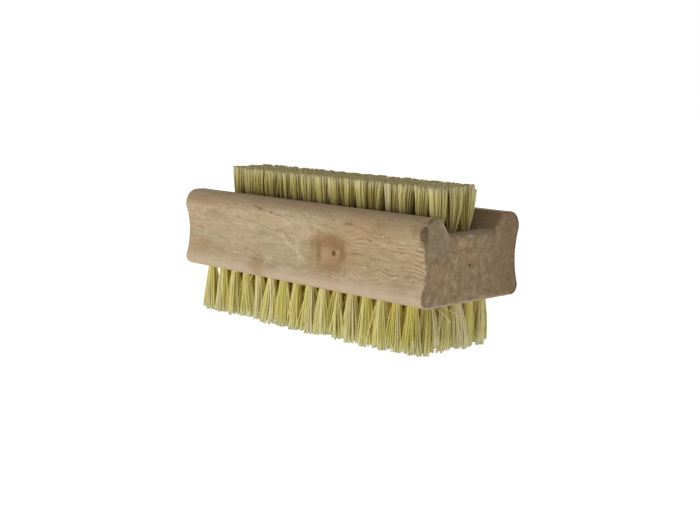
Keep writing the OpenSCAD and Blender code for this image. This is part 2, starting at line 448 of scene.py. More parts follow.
def edge_wear_and_painted_light(s, colour, x, y, z, front):
    """Dirt and wear on the end edges, where hands rub them, with a painted highlight and painted
    shade at the right end.
    """
    edge = s.attribute("edge")
    rub = s.noise(s.place, 0.55, detail=3.0, roughness=0.65)
    worn = s.product(front, s.span(z, 29.5, 32.0), s.span(x, 40.0, 46.0))
    dirt_share = s.add(0.18, s.product(worn, 0.60))
    return s.covered(
        colour,
        (STAIN, s.span(edge, 0.35, 0.9), s.span(rub, 0.46, 0.62), dirt_share),
        (WOOD_PALE, s.span(edge, 0.70, 1.0), s.span(rub, 0.46, 0.36), 0.30),
        # Where the trough's front slope ends.
        (BLEACHED, s.span(edge, 0.45, 0.9), s.span(y, -12.6, -12.0), s.span(y, -7.6, -8.4),
         s.span(z, FLOOR_Z - 0.2, FLOOR_Z + 0.3), s.span(rub, 0.40, 0.60), 0.50),
        # At the right end: dirt at the upper front corner, a painted highlight along the lower edge
        # and painted shade along the far edge.
        (CORNER_DIRT, s.span(x, 46.0, 46.8), s.span(y, -16.0, -17.2), s.span(z, 28.6, 30.4),
         s.span(rub, 0.34, 0.52), 0.72),
        (WOOD_PALE, s.span(edge, 0.45, 0.95), s.span(z, BASE_Z + 1.0, BASE_Z + 0.2),
         s.span(x, 46.2, 47.0), s.span(rub, 0.34, 0.52), 0.55),
        (FAR_EDGE_PAINTED_SHADE, s.span(edge, 0.30, 0.85), s.span(y, 14.8, 16.2), s.span(x, 0.0, 1.0),
         s.span(rub, 0.26, 0.56), 0.85))


def wood_material():
    """Plain planed wood, worn and stained by use, with a knot in its front side."""
    s = Shader("brush_wood")
    x, y, z = s.parts(s.place)
    front, rear = s.span(y, -12.5, -14.5), s.span(y, 12.5, 14.5)

    # The grain runs along X, bends round the knot and lies in wide curved rings.
    off_knot = s.subtract(z, KNOT_PLACE[1])
    knot_far = s.reach(s.product(s.subtract(x, KNOT_PLACE[0]), 0.7), off_knot)
    bend = s.product(s.span(knot_far, 11.0, 3.0), front, s.product(off_knot, 0.45))
    bent_z = s.add(z, bend)
    grain_place = s.joined(x, y, bent_z)
    drift = s.product(s.subtract(s.noise(grain_place, (0.035, 0.10, 0.10)), 0.5), 9.0)
    ring_far = s.reach(s.subtract(y, RING_PLACE[0]), s.subtract(bent_z, RING_PLACE[1]))
    ring_far = s.add(ring_far, drift)
    rings = s.span(s.math("SINE", s.product(ring_far, 4.2)), 0.1, 1.0)
    streaks = s.noise(grain_place, (0.075, 1.15, 1.15), detail=5.0, roughness=0.62)
    fine = s.noise(grain_place, (0.30, 3.0, 3.0), detail=3.0, roughness=0.6)
    blotch = s.noise(s.place, (0.055, 0.12, 0.12), detail=3.0, roughness=0.55)
    cloud = s.noise(s.place, (0.26, 0.42, 0.42), detail=5.0, roughness=0.70)
    speck = s.noise(s.place, (1.1, 1.4, 1.4), detail=3.0, roughness=0.7)
    dots = s.noise(s.place, (1.0, 1.7, 1.7), roughness=0.6)
    colour = s.layered(s.mix(s.span(blotch, 0.36, 0.64), WOOD_GREEN, WOOD_PINK), (
        (streaks, 0.46, 0.72, 0.42, WOOD_DARK),
        (streaks, 0.44, 0.28, 0.30, WOOD_PALE),
        (cloud, 0.52, 0.70, 0.46, WOOD_DARK),
        (cloud, 0.48, 0.30, 0.36, WOOD_PALE),
        (fine, 0.54, 0.68, 0.50, WOOD_DARK),
        (fine, 0.44, 0.32, 0.30, WOOD_PALE),
        (dots, 0.62, 0.72, 0.42, KNOT_BROWN),
        (speck, 0.60, 0.74, 0.30, WOOD_PALE),
    ))
    colour = s.tinted(colour, WOOD_DARK, rings, 0.13)

    # Fine wavy lines, most of all between the knot and the right end.
    wave_zone = s.product(
        front, s.span(x, 18.0, 23.0), s.span(z, 16.5, 20.0), s.span(z, 32.5, 29.0))
    wave_shift = s.product(
        s.noise(s.place, (0.13, 0.22, 0.22), detail=3.0, roughness=0.60), 4.4)
    waves = s.math("SINE", s.product(s.add(bent_z, wave_shift), 5.6))
    patchy = s.add(s.noise(s.place, (0.22, 0.5, 0.55)), s.product(wave_zone, 0.10))
    wave_patch = s.span(patchy, 0.52, 0.68)
    dark_share = s.add(s.product(s.span(z, 16.5, 20.5), 0.28), s.product(wave_zone, 0.62))
    pale_share = s.add(0.24, s.product(wave_zone, 0.14))
    colour = s.tinted(colour, WOOD_DARK, s.span(waves, 0.45, 1.0), wave_patch, dark_share)
    colour = s.tinted(colour, WOOD_PALE, s.span(waves, 0.0, -1.0), wave_patch, pale_share)

    # The lower lip is paler and pinker: painted light, for the floor's bounce. The upper land is
    # browner and darker.
    colour = s.tinted(colour, LIP_PAINTED_BOUNCE_LIGHT, s.span(z, 18.8, 15.6), 0.50)
    # Painted shade, with some stain, darkens the upper land, more towards the right.
    top_stain_and_shade_share = s.add(0.32, s.product(s.span(x, -34.0, 6.0), 0.16))
    colour = s.tinted(colour, TOP_STAIN_AND_PAINTED_SHADE, s.span(z, 31.0, 34.4), top_stain_and_shade_share)
    land_grain = s.span(s.noise(s.place, (0.10, 1.6, 1.0), detail=3.0), 0.45, 0.62)
    colour = s.tinted(colour, WOOD_DARK, s.span(z, 33.6, 34.6), land_grain, 0.45)

    # Knot, patches, scratches and dents.
    flat = s.joined(x, z, 0.0)
    shaken_place = shifted_place(s, flat, (0.9, 1.1), 2.0, 0.5)
    swirled_place = shifted_place(s, flat, (0.38, 0.45), 3.0, 2.6)
    for side, patches in ((front, PATCHES), (rear, REAR_PATCHES)):
        colour = patched(s, colour, patches, side, swirled_place, shaken_place, speck)
    crumbled = s.span(s.noise(s.place, 2.4, roughness=0.6), 0.40, 0.56)
    frayed = s.span(s.noise(s.place, (0.55, 1.6, 1.6), roughness=0.6), 0.36, 0.56)
    for marks, tint, broken in ((DARK_MARKS, SCRATCH, frayed), (PALE_MARKS, BLEACHED, crumbled)):
        colour = scratched(s, colour, marks, tint, s.product(front, broken), shaken_place)

    end = s.span(s.math("ABSOLUTE", x), LENGTH / 2 - 0.45, LENGTH / 2 - 0.15)
    pores = s.noise(s.place, 1.8, roughness=0.6)
    colour = s.mix(end, colour, end_grain(s, y, z, ring_far, pores))

    # Trough: stained dark by wet fibres, most of all at its floor.
    between_ends = s.subtract(1.0, end)
    inside = s.product(
        s.span(s.math("ABSOLUTE", y), MOUTH_HALF + 0.25, MOUTH_HALF - 0.35),
        s.span(z, FLOOR_Z - 0.3, FLOOR_Z - 0.1), between_ends)
    bare_floor = s.product(s.span(z, FLOOR_Z + 0.7, FLOOR_Z + 0.2), s.span(x, 40.8, 43.0))
    stain_and_shade_share = s.subtract(s.add(0.5, s.product(blotch, 0.4)), s.product(bare_floor, 0.56))
    colour = s.tinted(colour, STAIN, inside, s.unit(stain_and_shade_share))
    # Painted shade: a dark line along the far rim of the trough's mouth, in the stain colour.
    far_land_painted_shade = s.product(
        s.span(z, TOP_Z - 0.35, TOP_Z - 0.05), s.span(y, MOUTH_HALF - 0.3, MOUTH_HALF + 0.1),
        between_ends)
    colour = s.tinted(colour, STAIN, far_land_painted_shade, s.add(0.30, s.product(cloud, 0.6)))
    # Underside: a little darker.
    colour = s.tinted(colour, WOOD_DARK, s.span(z, BASE_Z + 0.3, BASE_Z + 0.05), 0.16)
    colour = edge_wear_and_painted_light(s, colour, x, y, z, front)

    height = s.add(s.product(streaks, 0.55), s.product(fine, 0.45))
    height = s.subtract(height, s.product(s.span(pores, 0.60, 0.75), 0.2))
    s.bump(height, 0.45, 0.12)
    return s.finish(colour, s.add(0.60, s.product(streaks, 0.22)), specular=0.22)


# Fibre colours, linear: from the darkest strands to the palest.
LOWER_TONES = (
    (0.00, (0.500, 0.400, 0.085)),
    (0.18, (0.570, 0.500, 0.100)),
    (0.38, (0.680, 0.615, 0.150)),
    (0.58, (0.770, 0.705, 0.295)),
    (0.76, (0.780, 0.685, 0.400)),
    (1.00, (0.880, 0.830, 0.540)),
)
UPPER_TONES = (
    (0.00, (0.360, 0.250, 0.055)),
    (0.16, (0.480, 0.410, 0.090)),
    (0.38, (0.660, 0.570, 0.190)),
    (0.60, (0.790, 0.700, 0.280)),
    (0.78, (0.840, 0.730, 0.410)),
    (1.00, (0.950, 0.880, 0.560)),
)

# From here to there in x the end tufts stand in the open, so their roots get less painted shade.
OPEN_END_X = (36.5, 39.5)
OPEN_END_LESS_ROOT_SHADE = 0.60


def fibre_material(
        name, tones, inner, inner_share, root, root_shade_reach, root_shade_share, tip, tip_share, cut):
    """Plant fibre: strands of many tones, coloured further inside, at the tip and cut, with a
    painted root tint for the shade near the roots.
    """
    s = Shader(name)
    tone, along, depth = s.attribute("tone"), s.attribute("along"), s.attribute("inner")
    streak = s.subtract(s.noise(s.place, (3.0, 3.0, 0.35)), 0.5)
    colour = s.ramp(s.add(tone, s.product(streak, 0.14)), tones)
    colour = s.tinted(colour, inner, depth, inner_share)
    colour = s.tinted(colour, tip, s.span(along, 0.72, 1.0), tip_share)
    colour = s.tinted(colour, cut, s.span(along, 0.968, 0.999), 0.85)
    # Painted shade at the roots, lessened where the end tufts stand in the open.
    root_shade_noise = s.noise(s.place, (0.5, 0.5, 0.3))
    root_shade_length = s.add(root_shade_reach * 0.55, s.product(root_shade_noise, root_shade_reach * 0.9))
    open_end = s.span(s.math("ABSOLUTE", s.parts(s.place)[0]), *OPEN_END_X)
    stain_and_shade_share = s.subtract(root_shade_share, s.product(open_end, root_shade_share * OPEN_END_LESS_ROOT_SHADE))
    colour = s.tinted(colour, root, s.span(along, root_shade_length, 0.0), stain_and_shade_share)
    s.bump(s.noise(s.place, (9.0, 9.0, 0.9), detail=1.0), 0.3, 0.05)
    return s.finish(colour, 0.44, specular=0.30)


def anchor_material():
    """Drawn brass strip, dulled in the damp of the hole."""
    s = Shader("anchor_brass")
    drawn = s.noise(s.place, (0.6, 6.0, 6.0), detail=3.0)
    tarnish = s.noise(s.place, 1.4, detail=3.0)
    colour = s.mix(s.span(tarnish, 0.42, 0.66), (0.72, 0.52, 0.22), (0.36, 0.22, 0.09))
    s.bump(drawn, 0.3, 0.03)
    return s.finish(colour, s.add(0.28, s.product(drawn, 0.3)), specular=0.5, metallic=1.0)


# Wood block

def arc_points(centre, radius, start, end):
    steps = max(2, math.ceil(abs(end - start) * radius / ARC_STEP))
    angles = np.linspace(start, end, steps + 1)
    return [(centre[0] + radius * math.cos(a), centre[1] + radius * math.sin(a)) for a in angles]


def straight_points(start, end, step):
    steps = max(1, math.ceil(math.dist(start, end) / step))
    return [tuple(lerp(np.array(start), np.array(end), t)) for t in np.linspace(0, 1, steps + 1)]


def side_chain():
    """The side from the underside's edge round both lips to the trough's floor, as (y, height)."""
    half = WIDTH / 2
    span = HEIGHT - TOP_LIP_R - BOTTOM_LIP_R
    rise = span / 2 - GROOVE_DEPTH * (TOP_LIP_R - BOTTOM_LIP_R) / span
    radius = (rise ** 2 + GROOVE_DEPTH ** 2) / (2 * GROOVE_DEPTH) - BOTTOM_LIP_R
    groove = (half - GROOVE_DEPTH + radius, BOTTOM_LIP_R + rise)
    low = (half - BOTTOM_LIP_R, BOTTOM_LIP_R)
    high = (half - TOP_LIP_R, HEIGHT - TOP_LIP_R)
    low_angle = math.atan2(groove[1] - low[1], groove[0] - low[0])
    high_angle = math.atan2(groove[1] - high[1], groove[0] - high[0])
    chain = arc_points(low, BOTTOM_LIP_R, -math.pi / 2, low_angle)
    chain += arc_points(groove, radius, low_angle + math.pi, high_angle + math.pi)[1:]
    chain += arc_points(high, TOP_LIP_R, high_angle, math.pi / 2)[1:]
    mouth = (MOUTH_HALF, HEIGHT)
    floor_corner = (FLOOR_HALF, HEIGHT - TROUGH_DEPTH)
    chain += straight_points(chain[-1], mouth, LAND_STEP)[1:]
    chain += straight_points(mouth, floor_corner, SLOPE_STEP)[1:]
    return np.array(chain)


def edge_radius(y, height, side):
    """How far the worn end edge is rounded at a point of the outline."""
    place = Vector((side * 7.0, y * 0.33, height * 0.33))
    radius = END_EDGE_R + 0.10 * noise.noise(place) + 0.05 * noise.noise(place * 4.1)
    if side > 0 and y < CHIPPED_Y:
        for middle, reach, depth in CHIPS:
            radius += depth * math.exp(-((height - middle) / reach) ** 2)
    return max(LEAST_EDGE_R, radius)


class BlockSkin:
    """The block's mesh: rounded ends, two sides swept along X, and flats with their holes."""

    def __init__(self):
        self.mesh = bmesh.new()
        self.edge = self.mesh.verts.layers.float.new("edge")
        rear = side_chain()
        front = rear[::-1] * (-1, 1)
        corner, foot = (FLOOR_HALF, HEIGHT - TROUGH_DEPTH), rear[0][0]
        floor = straight_points(corner, (-corner[0], corner[1]), FLAT_STEP)[1:-1]
        bottom = straight_points((-foot, 0.0), (foot, 0.0), FLAT_STEP)[1:-1]
        self.outline = np.vstack([rear, floor, front, bottom])
        run = np.roll(self.outline, -1, 0) - np.roll(self.outline, 1, 0)
        self.inward = np.stack([-run[:, 1], run[:, 0]], 1)
        self.inward /= np.linalg.norm(self.inward, axis=1)[:, None]
        self.count = len(rear)
        self.front_start = self.count + len(floor)

        self.left, self.right = self.end_rings(-1), self.end_rings(1)
        self.mesh.faces.new(self.left[0][::-1])
        self.mesh.faces.new(self.right[0])
        for a, b in zip(self.left, self.left[1:]):
            self.bridge(a + a[:1], b + b[:1])
        for a, b in zip(self.right, self.right[1:]):
            self.bridge(b + b[:1], a + a[:1])

        # Between the ends only the two sides are rings.
        steps = round((LENGTH - 2 * END_MARGIN) / STATION_STEP)
        reach = LENGTH / 2 - END_MARGIN
        self.rear_rows = [self.left[-1][:self.count]]
        self.front_rows = [self.left[-1][self.front_start:self.front_start + self.count]]
        for x in np.linspace(-reach, reach, steps + 1):
            self.rear_rows.append([self.vert(x, point) for point in rear])
            self.front_rows.append([self.vert(x, point) for point in front])
        self.rear_rows.append(self.right[-1][:self.count])
        self.front_rows.append(self.right[-1][self.front_start:self.front_start + self.count])
        for rows in (self.rear_rows, self.front_rows):
            for a, b in zip(rows, rows[1:]):
                self.bridge(a, b)

    def vert(self, x, point, edge=0.0):
        """A vertex at a point (y, height) of the outline."""
        made = self.mesh.verts.new((x, point[0], point[1] + BASE_Z))
        made[self.edge] = edge
        return made

    def face(self, *verts):
        self.mesh.faces.new(verts).smooth = True

    def bridge(self, a, b):
        for i in range(len(a) - 1):
            self.face(a[i], a[i + 1], b[i + 1], b[i])

    def end_rings(self, side):
        """Whole rings from the end face's inner edge out to the start of the rounding."""
        radii = np.array([edge_radius(*point, side) for point in self.outline])
        inset = self.outline + self.inward * (radii + CAP_INSET)[:, None]
        rings = [[self.vert(side * LENGTH / 2, point) for point in inset]]
        for step in range(ROUND_STEPS, -1, -1):
            angle = math.pi / 2 * step / ROUND_STEPS
            shifted = self.outline + self.inward * (radii * (1 - math.cos(angle)))[:, None]
            xs = side * (LENGTH / 2 - radii * (1 - math.sin(angle)))
            rings.append([self.vert(x, point, 1.0) for x, point in zip(xs, shifted)])
        return rings

    def hole(self, centre, z, depth, up):
        """A blind hole with a worn rim. Returns the edges of its mouth."""
        rims = []
        for radius, drop in ((HOLE_R + RIM_WIDTH, 0.0), (HOLE_R, RIM_DEPTH), (HOLE_R, depth)):
            height = z - drop if up else z + drop
            rims.append([])
            for k in range(HOLE_SIDES):
                angle = 2 * math.pi * k / HOLE_SIDES
                x, y = centre[0] + radius * math.cos(angle), centre[1] + radius * math.sin(angle)
                rims[-1].append(self.mesh.verts.new((x, y, height)))
        mouth = []
        for k in range(HOLE_SIDES):
            n = (k + 1) % HOLE_SIDES
            mouth.append(self.mesh.edges.new((rims[0][k], rims[0][n])))
            for outer, inner in zip(rims, rims[1:]):
                quad = (outer[k], inner[k], inner[n], outer[n])
                self.face(*(quad if up else quad[::-1]))
        self.mesh.faces.new(rims[2] if up else rims[2][::-1])
        return mouth

    def fill_flat(self, holes, z, depth, up):
        """Fills the trough's floor, or the underside, round its holes."""
        first, stop = self.count, self.front_start
        if not up:
            first, stop = self.front_start + self.count, len(self.outline)
        at_left, at_right = self.left[-1][first:stop], self.right[-1][first:stop]
        rear, front = (self.count - 1, 0) if up else (0, self.count - 1)
        around = [row[rear] for row in self.rear_rows]
        around += at_right if up else at_right[::-1]
        around += [row[front] for row in self.front_rows][::-1]
        around += at_left[::-1] if up else at_left
        edges = []
        for pair in zip(around, around[1:] + around[:1]):
            edges.append(self.mesh.edges.get(pair) or self.mesh.edges.new(pair))
        for centre in holes:
            edges += self.hole(centre, z, depth, up)
        normal = Vector((0, 0, 1 if up else -1))
        made = bmesh.ops.triangle_fill(
            self.mesh, use_beauty=True, use_dissolve=False, edges=edges, normal=normal)
        for item in made["geom"]:
            if isinstance(item, bmesh.types.BMFace):
                item.smooth = True
                if item.normal.dot(normal) < 0:
                    item.normal_flip()

    def hollow(self):
        """Hand-worn sides: shallow unevenness that fades out at the flats and ends."""
        self.mesh.normal_update()
        for row in self.rear_rows[1:-1] + self.front_rows[1:-1]:
            for k, v in enumerate(row):
                fade = min(1.0, k / HOLLOW_FADE) * min(1.0, (self.count - 1 - k) / HOLLOW_FADE)
                place = v.co * Vector(HOLLOW_SCALE)
                v.co -= v.normal * fade * HOLLOW_DEPTH * (0.5 + 0.5 * noise.noise(place))

    def finished(self, name):
        bmesh.ops.recalc_face_normals(self.mesh, faces=self.mesh.faces)
        for v in self.mesh.verts:
            v.co *= MM
        data = bpy.data.meshes.new(name)
        self.mesh.to_mesh(data)
        self.mesh.free()
        data.set_sharp_from_angle(angle=math.radians(SHARP_ANGLE))
        return placed(name, data)


def brush_block(lower_holes, upper_holes):
    skin = BlockSkin()
    skin.fill_flat(upper_holes, FLOOR_Z, UPPER_HOLE_DEPTH, True)
    skin.fill_flat(lower_holes, BASE_Z, LOWER_HOLE_DEPTH, False)
    skin.hollow()
    return skin.finished("brush_block")


# Fibre rows

# Sections of a fibre: in the hole, then at these shares of its free length.
RINGS = (-1.0, 0.0, 0.22, 0.48, 0.75, 1.0)
FIBRE_SIDES = 4
# A fibre's corners reach this many half thicknesses out, and one way it is flatter by a share
# between these.
CORNER_REACH = 1.15
FLATNESS = (0.62, 1.0)
# Beyond this share of its free length a fibre tapers.
TAPER_FROM = 0.5

# Roots are read from this far below their slice of backing, and a gap in x wider than TUFT_GAP
# parts two of them.
ROOT_MARGIN = 0.3
TUFT_GAP = 1.2

# Spread of points over a tuft.
GOLDEN_ANGLE = 137.508
DISC_POWER = 0.45
DISC_JITTER = 0.35
SQUARENESS = 0.55
CLUMP_SPREAD = 0.86
CLUMP_JITTER = 0.10
CLUMP_BEND = 1.2
CLUMP_RISE_POWER = 7
# Further than this towards a tuft's open side its fibres have the outside's colour.
OUTSIDE_FROM = 0.40
TONE_LIMITS = (0.02, 0.98)
# How much shorter stray fibres are.
STRAY_SHORT = (0.2, 1.6)

# A fibre starts this deep below the surface of the wood and stands free of it by its free length.
# Cell is half a tuft's spread at its tips in x and y, splay is how far an open side leans out,
# sway moves every tip, clump_ragged and ragged are how far clumps and fibres stay short, uneven
# scales the former from the left end to the right one, dome lowers a tuft's rim, and early is
# how soon a fibre spreads.
LOWER_LOOK = {
    "up": False, "surface": BASE_Z, "deep": 5.2, "free": BASE_Z, "seed": SEED,
    "count": 100, "clumps": 8, "root_r": 1.02, "right_root_r": 1.14,
    "cell": (2.45, 2.35), "tight": 0.95, "lean": 0.34, "clump_shift": 0.46, "jitter": 0.26,
    "splay": (0.75, -0.55), "sway": (0.30, -1.05),
    "clump_ragged": 2.6, "uneven": (0.5, 1.5), "ragged": 0.30, "dome": 0.0,
    "bend": 0.20, "early": 1.24,
    "tone": 0.50, "tuft_tone": 0.05, "clump_tone": 0.14, "fibre_tone": 0.07,
    "thin": 0.27, "thick": 0.45, "taper": 0.92, "stray": 0.06, "stray_reach": 1.3,
}
UPPER_LOOK = {
    "up": True, "surface": FLOOR_Z, "deep": 4.4, "free": 11.9, "seed": SEED + 100,
    "count": 110, "clumps": 8, "root_r": 1.16, "right_root_r": 1.16,
    "cell": (2.36, 2.34), "tight": 1.0, "lean": 0.10, "clump_shift": 0.30, "jitter": 0.26,
    "splay": (0.0, 0.0), "sway": (-0.25, 0.0),
    "clump_ragged": 0.45, "uneven": (1.0, 1.0), "ragged": 0.42, "dome": 0.14,
    "bend": 0.15, "early": 1.90,
    "tone": 0.44, "tuft_tone": 0.04, "clump_tone": 0.16, "fibre_tone": 0.10,
    "thin": 0.25, "thick": 0.40, "taper": 1.00, "stray": 0.012, "stray_reach": 0.5,
}
# Loose fibres by row: root, tip with how far it stays short of full length, bend, tone, thickness.
LOOSE_FIBRES = {
    ("upper", 3): (
        ((40.9, 5.2), (41.35, 5.5, 0.15), (0.0, 0.0), 0.48, 0.42),
        ((40.8, 5.5), (41.2, 5.75, 0.3), (0.0, 0.0), 0.60, 0.42),
    ),
    ("lower", 1): (
        ((-41.7, -13.2), (-43.4, -15.0, 1.6), (-0.5, 0.0), 0.60, 0.34),
        ((12.0, -13.4), (17.0, -15.6, 1.0), (0.9, 0.0), 0.66, 0.30),
        ((-22.0, -13.4), (-25.6, -15.4, 1.2), (-0.9, 0.0), 0.60, 0.30),
    ),
    ("lower", 2): (
        ((39.7, -8.0), (43.4, 0.5, 8.6), (0.8, 0.2), 0.70, 0.36),
        ((39.9, -8.3), (43.8, -3.5, 7.4), (0.9, 0.3), 0.62, 0.34),
    ),
    ("lower", 3): (
        ((39.8, -2.8), (43.6, -7.6, 6.0), (0.6, 0.4), 0.66, 0.34),
    ),
}
LOWER_ROWS = 6
UPPER_ROWS = 3


def tuft_centres(node, surface_z, upward):
    """Centres of a row's roots, read from the part of the node that lies inside the block."""
    points = np.array([v.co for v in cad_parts[node].data.vertices]) / MM
    depth = surface_z - points[:, 2] if upward else points[:, 2] - surface_z
    deep = points[depth > SLICE_T + ROOT_MARGIN]
    deep = deep[np.argsort(deep[:, 0])]
    groups = np.split(deep, np.nonzero(np.diff(deep[:, 0]) > TUFT_GAP)[0] + 1)
    return [(group[:, :2].min(0) + group[:, :2].max(0)) / 2 for group in groups]


def sunflower(count, rng):
    """Points spread evenly over a unit disc, with a little unevenness."""
    k = np.arange(count) + 0.5
    radius = (k / count) ** DISC_POWER
    angle = k * math.radians(GOLDEN_ANGLE)
    points = np.stack([radius * np.cos(angle), radius * np.sin(angle)], 1)
    return points + rng.normal(0, DISC_JITTER / math.sqrt(count), points.shape)


def turned(points, angle):
    cosine, sine = math.cos(angle), math.sin(angle)
    return points @ np.array([[cosine, sine], [-sine, cosine]])


def squared(points):
    """Pushes a disc's points part of the way out towards a square."""
    size = np.maximum(np.linalg.norm(points, axis=1), 1e-6)
    widest = np.maximum(np.abs(points).max(1), 1e-6)
    return points * (1 + SQUARENESS * (size / widest - 1))[:, None]


def tuft_paths(centre, root_r, side, lean_out, uneven, look, rng):
    """Root, tip and character of every fibre of one tuft. Side is where it stands open."""
    count, clumps, cell = look["count"], look["clumps"], np.array(look["cell"])
    disc = turned(sunflower(count, rng), rng.uniform(0, 2 * math.pi))
    middles = sunflower(clumps, rng) * CLUMP_SPREAD + rng.normal(0, CLUMP_JITTER, (clumps, 2))
    clump = np.argmin(np.linalg.norm(disc[:, None] - middles[None], axis=2), axis=1)
    own = middles[clump]

    tip = squared(own) * cell + (disc - own) * cell * look["tight"]
    tip += rng.normal(0, look["lean"], 2)
    tip += rng.normal(0, look["clump_shift"], (clumps, 2))[clump]
    tip += rng.normal(0, look["jitter"], (count, 2))
    tip += side * lean_out * look["splay"] + look["sway"]

    clump_short = rng.uniform(0, 1, clumps) ** CLUMP_RISE_POWER * look["clump_ragged"] * uneven
    short = clump_short[clump] + rng.uniform(0, 1, count) ** 2 * look["ragged"]
    short += look["dome"] * np.linalg.norm(disc, axis=1) ** 3

    clump_tone = rng.normal(0, look["clump_tone"], clumps)
    tone = look["tone"] + rng.normal(0, look["tuft_tone"]) + clump_tone[clump]
    tone += rng.normal(0, look["fibre_tone"], count)
    bend = rng.normal(0, look["bend"], (count, 2))
    bend += rng.normal(0, look["bend"] * CLUMP_BEND, (clumps, 2))[clump]
    outward = np.where(side != 0, disc * side, -1.0).max(1)
    return {
        "root": centre + disc * root_r,
        "tip": centre + tip,
        "short": short,
        "bend": bend,
        "tone": np.clip(tone, *TONE_LIMITS),
        "size": rng.uniform(look["thin"], look["thick"], count),
        "inner": np.clip(OUTSIDE_FROM - outward, 0, 1),
    }


def loose_paths(loose):
    """Loose fibres in the form of a tuft's."""
    root, tip, bend, tone, size = (np.array(column) for column in zip(*loose))
    return {
        "root": root, "tip": tip[:, :2], "short": tip[:, 2], "bend": bend,
        "tone": tone, "size": size, "inner": np.zeros(len(loose)),
    }


def row_paths(centres, row, rows, look, rng, loose):
    """Root, tip and character of every fibre of a row."""
    tufts = []
    last = len(centres) - 1
    for index, centre in enumerate(centres):
        side = np.array([
            -1 if place == 0 else 1 if place == end else 0
            for place, end in ((index, last), (row, rows - 1))])
        # The front row's left end leans out and the others' lean in; at the right end each row
        # leans out less than the one before it.
        left, right = 0.9 if row == 0 else -1.3, 1 - 0.7 * row / (rows - 1)
        lean_out = np.array([left if index == 0 else right, 1.0])
        uneven = lerp(*look["uneven"], index / last)
        root_r = look["right_root_r"] if index == last else look["root_r"]
        tufts.append(tuft_paths(centre, root_r, side, lean_out, uneven, look, rng))
    if loose:
        tufts.append(loose_paths(loose))
    return {key: np.concatenate([tuft[key] for tuft in tufts]) for key in tufts[0]}


def fibre_faces(total, sign):
    """Sides and both ends of every fibre, as numbers of its points."""
    faces = []
    for ring in range(len(RINGS) - 1):
        for corner in range(FIBRE_SIDES):
            after = (corner + 1) % FIBRE_SIDES
            low, high = ring * FIBRE_SIDES, (ring + 1) * FIBRE_SIDES
            faces.append([low + corner, low + after, high + after, high + corner][::sign])
    end = list(range(FIBRE_SIDES))
    faces.append([(len(RINGS) - 1) * FIBRE_SIDES + corner for corner in end][::sign])
    faces.append(end[::-sign])
    starts = (np.arange(total) * len(RINGS) * FIBRE_SIDES)[:, None]
    return np.concatenate([starts + np.array(face) for face in faces])


def fibre_row(name, paths, look, rng):
    """A row of tufts as a mesh of fine four-sided fibres, from inside their holes to their tips."""
    root, tip, bend = paths["root"], paths["tip"], paths["bend"]
    total = len(root)
    sign = 1 if look["up"] else -1
    free = look["free"] - paths["short"]
    stray = rng.uniform(0, 1, total) < look["stray"]
    tip[stray] += rng.normal(0, look["stray_reach"], (stray.sum(), 2))
    free[stray] -= rng.uniform(*STRAY_SHORT, stray.sum())
    turn = rng.uniform(0, math.pi / 2, total)
    flatness = rng.uniform(*FLATNESS, total)

    points = np.zeros((total, len(RINGS), FIBRE_SIDES, 3))
    for ring, t in enumerate(RINGS):
        if t < 0:
            middle, height = root, -look["deep"]
        else:
            ease = t * (look["early"] - (look["early"] - 1) * t)
            bow = math.sin(math.pi * t) * (0.6 + 0.4 * t)
            middle, height = root + (tip - root) * ease + bend * bow, free * t
        tapered = max(0.0, t - TAPER_FROM) / (1 - TAPER_FROM)
        taper = 1.0 - (1 - look["taper"]) * tapered
        half = paths["size"] / 2 * taper * CORNER_REACH
        for corner in range(FIBRE_SIDES):
            angle = math.pi * (0.25 + 0.5 * corner)
            u, w = math.cos(angle) * half, math.sin(angle) * half * flatness
            points[:, ring, corner, 0] = middle[:, 0] + u * np.cos(turn) - w * np.sin(turn)
            points[:, ring, corner, 1] = middle[:, 1] + u * np.sin(turn) + w * np.cos(turn)
            points[:, ring, corner, 2] = look["surface"] + sign * height

    mesh = bpy.data.meshes.new(name)
    mesh.from_pydata((points.reshape(-1, 3) * MM).tolist(), [], fibre_faces(total, sign).tolist())
    mesh.polygons.foreach_set("use_smooth", [True] * len(mesh.polygons))
    mesh.update()
    per_fibre = len(RINGS) * FIBRE_SIDES
    for key, values in (
        ("along", np.tile(np.repeat(np.maximum(RINGS, 0.0), FIBRE_SIDES), total)),
        ("tone", np.repeat(paths["tone"], per_fibre)),
        ("inner", np.repeat(paths["inner"], per_fibre)),
    ):
        attribute = mesh.attributes.new(key, "FLOAT", "POINT")
        attribute.data.foreach_set("value", values.astype(np.float32))
    return placed(name, mesh)


wood = wood_material()
# Inside the brush the lower fibres are painted a brighter gold, painted light for the gaps between
# the front tufts; their golden root tint is painted shade.
lower_fibre = fibre_material(
    "lower_plant_fibre", LOWER_TONES,
    inner=(0.950, 0.740, 0.125), inner_share=0.78,
    root=(0.800, 0.600, 0.130), root_shade_reach=0.22, root_shade_share=0.20,
    tip=(0.77, 0.77, 0.50), tip_share=0.42, cut=(0.48, 0.48, 0.30))
# The upper fibres are darker inside the brush; their dark brown roots are painted shade.
upper_fibre = fibre_material(
    "upper_plant_fibre", UPPER_TONES,
    inner=(0.500, 0.375, 0.072), inner_share=0.65,
    root=(0.100, 0.044, 0.014), root_shade_reach=0.84, root_shade_share=0.90,
    tip=(0.90, 0.82, 0.54), tip_share=0.60, cut=(0.37, 0.290, 0.080))
brass = anchor_material()

lower_centres = [
    tuft_centres(f"lower_bristles_row_{r + 1}", BASE_Z, False) for r in range(LOWER_ROWS)]
upper_centres = [
    tuft_centres(f"upper_bristles_row_{r + 1}", FLOOR_Z, True) for r in range(UPPER_ROWS)]

block = brush_block(sum(lower_centres, []), sum(upper_centres, []))
block.data.materials.append(wood)
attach(block, "root")
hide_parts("block")

